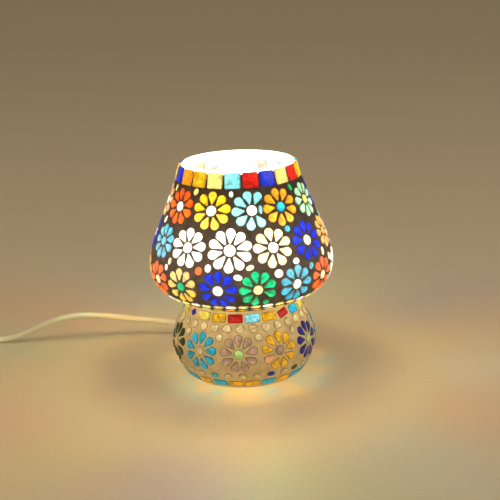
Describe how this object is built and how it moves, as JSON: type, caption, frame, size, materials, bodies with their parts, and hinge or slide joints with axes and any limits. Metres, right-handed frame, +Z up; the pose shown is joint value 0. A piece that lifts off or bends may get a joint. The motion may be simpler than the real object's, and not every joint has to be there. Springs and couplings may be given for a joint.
{
  "type": "mosaic glass table lamp",
  "caption": "Mushroom-shaped glass table lamp covered in a mosaic of coloured glass flowers, lit from inside, with a cord, switch and plug.",
  "frame": {"origin": "centre of the lamp's foot on the surface it stands on", "axes": "+Z up along the lamp's axis; -Y is the front seen in the picture; the cord leaves at the back left"},
  "size_m": [0.4717, 0.1613, 0.166],
  "materials": {
    "tiles_base_amber": "translucent cut stained glass, gloss",
    "tiles_base_blue": "translucent cut stained glass, gloss",
    "tiles_base_clear": "translucent cut stained glass, gloss",
    "tiles_base_cyan": "translucent cut stained glass, gloss",
    "tiles_base_lime": "translucent cut stained glass, gloss",
    "tiles_base_mauve": "translucent cut stained glass, gloss",
    "tiles_base_moss": "translucent cut stained glass, gloss",
    "tiles_base_peach": "translucent cut stained glass, gloss",
    "tiles_base_red": "translucent cut stained glass, gloss",
    "tiles_base_sky": "translucent cut stained glass, gloss",
    "tiles_base_yellow": "translucent cut stained glass, gloss",
    "tiles_shade_amber": "translucent cut stained glass, gloss",
    "tiles_shade_blue": "translucent cut stained glass, gloss",
    "tiles_shade_cream": "translucent cut stained glass, gloss",
    "tiles_shade_cyan": "translucent cut stained glass, gloss",
    "tiles_shade_green": "translucent cut stained glass, gloss",
    "tiles_shade_mint": "translucent cut stained glass, gloss",
    "tiles_shade_orange": "translucent cut stained glass, gloss",
    "tiles_shade_peach": "translucent cut stained glass, gloss",
    "tiles_shade_red": "translucent cut stained glass, gloss",
    "tiles_shade_sky": "translucent cut stained glass, gloss",
    "tiles_shade_white": "translucent cut stained glass, gloss",
    "tiles_shade_yellow": "translucent cut stained glass, gloss",
    "clear_glass": "clear blown glass",
    "shade_grout": "dark matt grout",
    "base_grout": "beige matt grout",
    "felt": "felt pad",
    "zinc_steel": "zinc-plated steel",
    "brass": "satin brass",
    "black_rubber": "matt rubber",
    "holder_plastic": "moulded thermoplastic, satin",
    "porcelain": "unglazed steatite",
    "nickel": "nickel plate",
    "bulb_diffuser": "opal diffuser, lit",
    "bulb_plastic": "white housing",
    "dark_insulator": "black vitrite",
    "circuit_board": "white solder mask",
    "led_phosphor": "yellow phosphor",
    "cord_pvc": "cream PVC sheath",
    "switch_plastic": "cream moulding"
  },
  "bodies": {
    "lamp": {"bar_pads": "black_rubber", "base_grout": "base_grout", "base_pad": "felt", "cord_coil": "cord_pvc", "cord_lead": "cord_pvc", "cord_link": "cord_pvc", "cord_tail": "cord_pvc", "cord_tube": "cord_pvc", "glass_body": "clear_glass", "holder_body": "holder_plastic", "holder_contact": "brass", "holder_core": "porcelain", "holder_ring": "holder_plastic", "holder_shell": "nickel", "lower_strap": "zinc_steel", "nipple": "zinc_steel", "nipple_nuts": "zinc_steel", "plug_body": "cord_pvc", "plug_pins": "nickel", "shade_grout": "shade_grout", "strain_relief": "cord_pvc", "switch_base": "switch_plastic", "switch_contacts": "brass", "switch_cover": "switch_plastic", "switch_screws": "zinc_steel", "terminal_screws": "brass", "tiles_base_amber": "tiles_base_amber", "tiles_base_blue": "tiles_base_blue", "tiles_base_clear": "tiles_base_clear", "tiles_base_cyan": "tiles_base_cyan", "tiles_base_lime": "tiles_base_lime", "tiles_base_mauve": "tiles_base_mauve", "tiles_base_moss": "tiles_base_moss", "tiles_base_peach": "tiles_base_peach", "tiles_base_red": "tiles_base_red", "tiles_base_sky": "tiles_base_sky", "tiles_base_yellow": "tiles_base_yellow", "tiles_shade_amber": "tiles_shade_amber", "tiles_shade_blue": "tiles_shade_blue", "tiles_shade_cream": "tiles_shade_cream", "tiles_shade_cyan": "tiles_shade_cyan", "tiles_shade_green": "tiles_shade_green", "tiles_shade_mint": "tiles_shade_mint", "tiles_shade_orange": "tiles_shade_orange", "tiles_shade_peach": "tiles_shade_peach", "tiles_shade_red": "tiles_shade_red", "tiles_shade_sky": "tiles_shade_sky", "tiles_shade_white": "tiles_shade_white", "tiles_shade_yellow": "tiles_shade_yellow", "upper_bar": "zinc_steel"},
    "bulb": {"bulb_contact": "nickel", "bulb_insulator": "dark_insulator", "bulb_cap": "nickel", "bulb_housing": "bulb_plastic", "bulb_globe": "bulb_diffuser", "bulb_board": "circuit_board", "bulb_leds": "led_phosphor"},
    "rocker": {"switch_rocker": "switch_plastic"}
  },
  "joints": [
    {"name": "bulb_unscrew", "type": "hinge", "parent": "lamp", "child": "bulb", "pos_m": [0, 0, 0.062], "axis": [0, 0, 1], "range_deg": [0, 1080]},
    {"name": "switch_rock", "type": "hinge", "parent": "lamp", "child": "rocker", "pos_m": [-0.271, 0.0785, 0.0127], "axis": [0, 1, 0], "range_deg": [0, 24]}
  ]
}
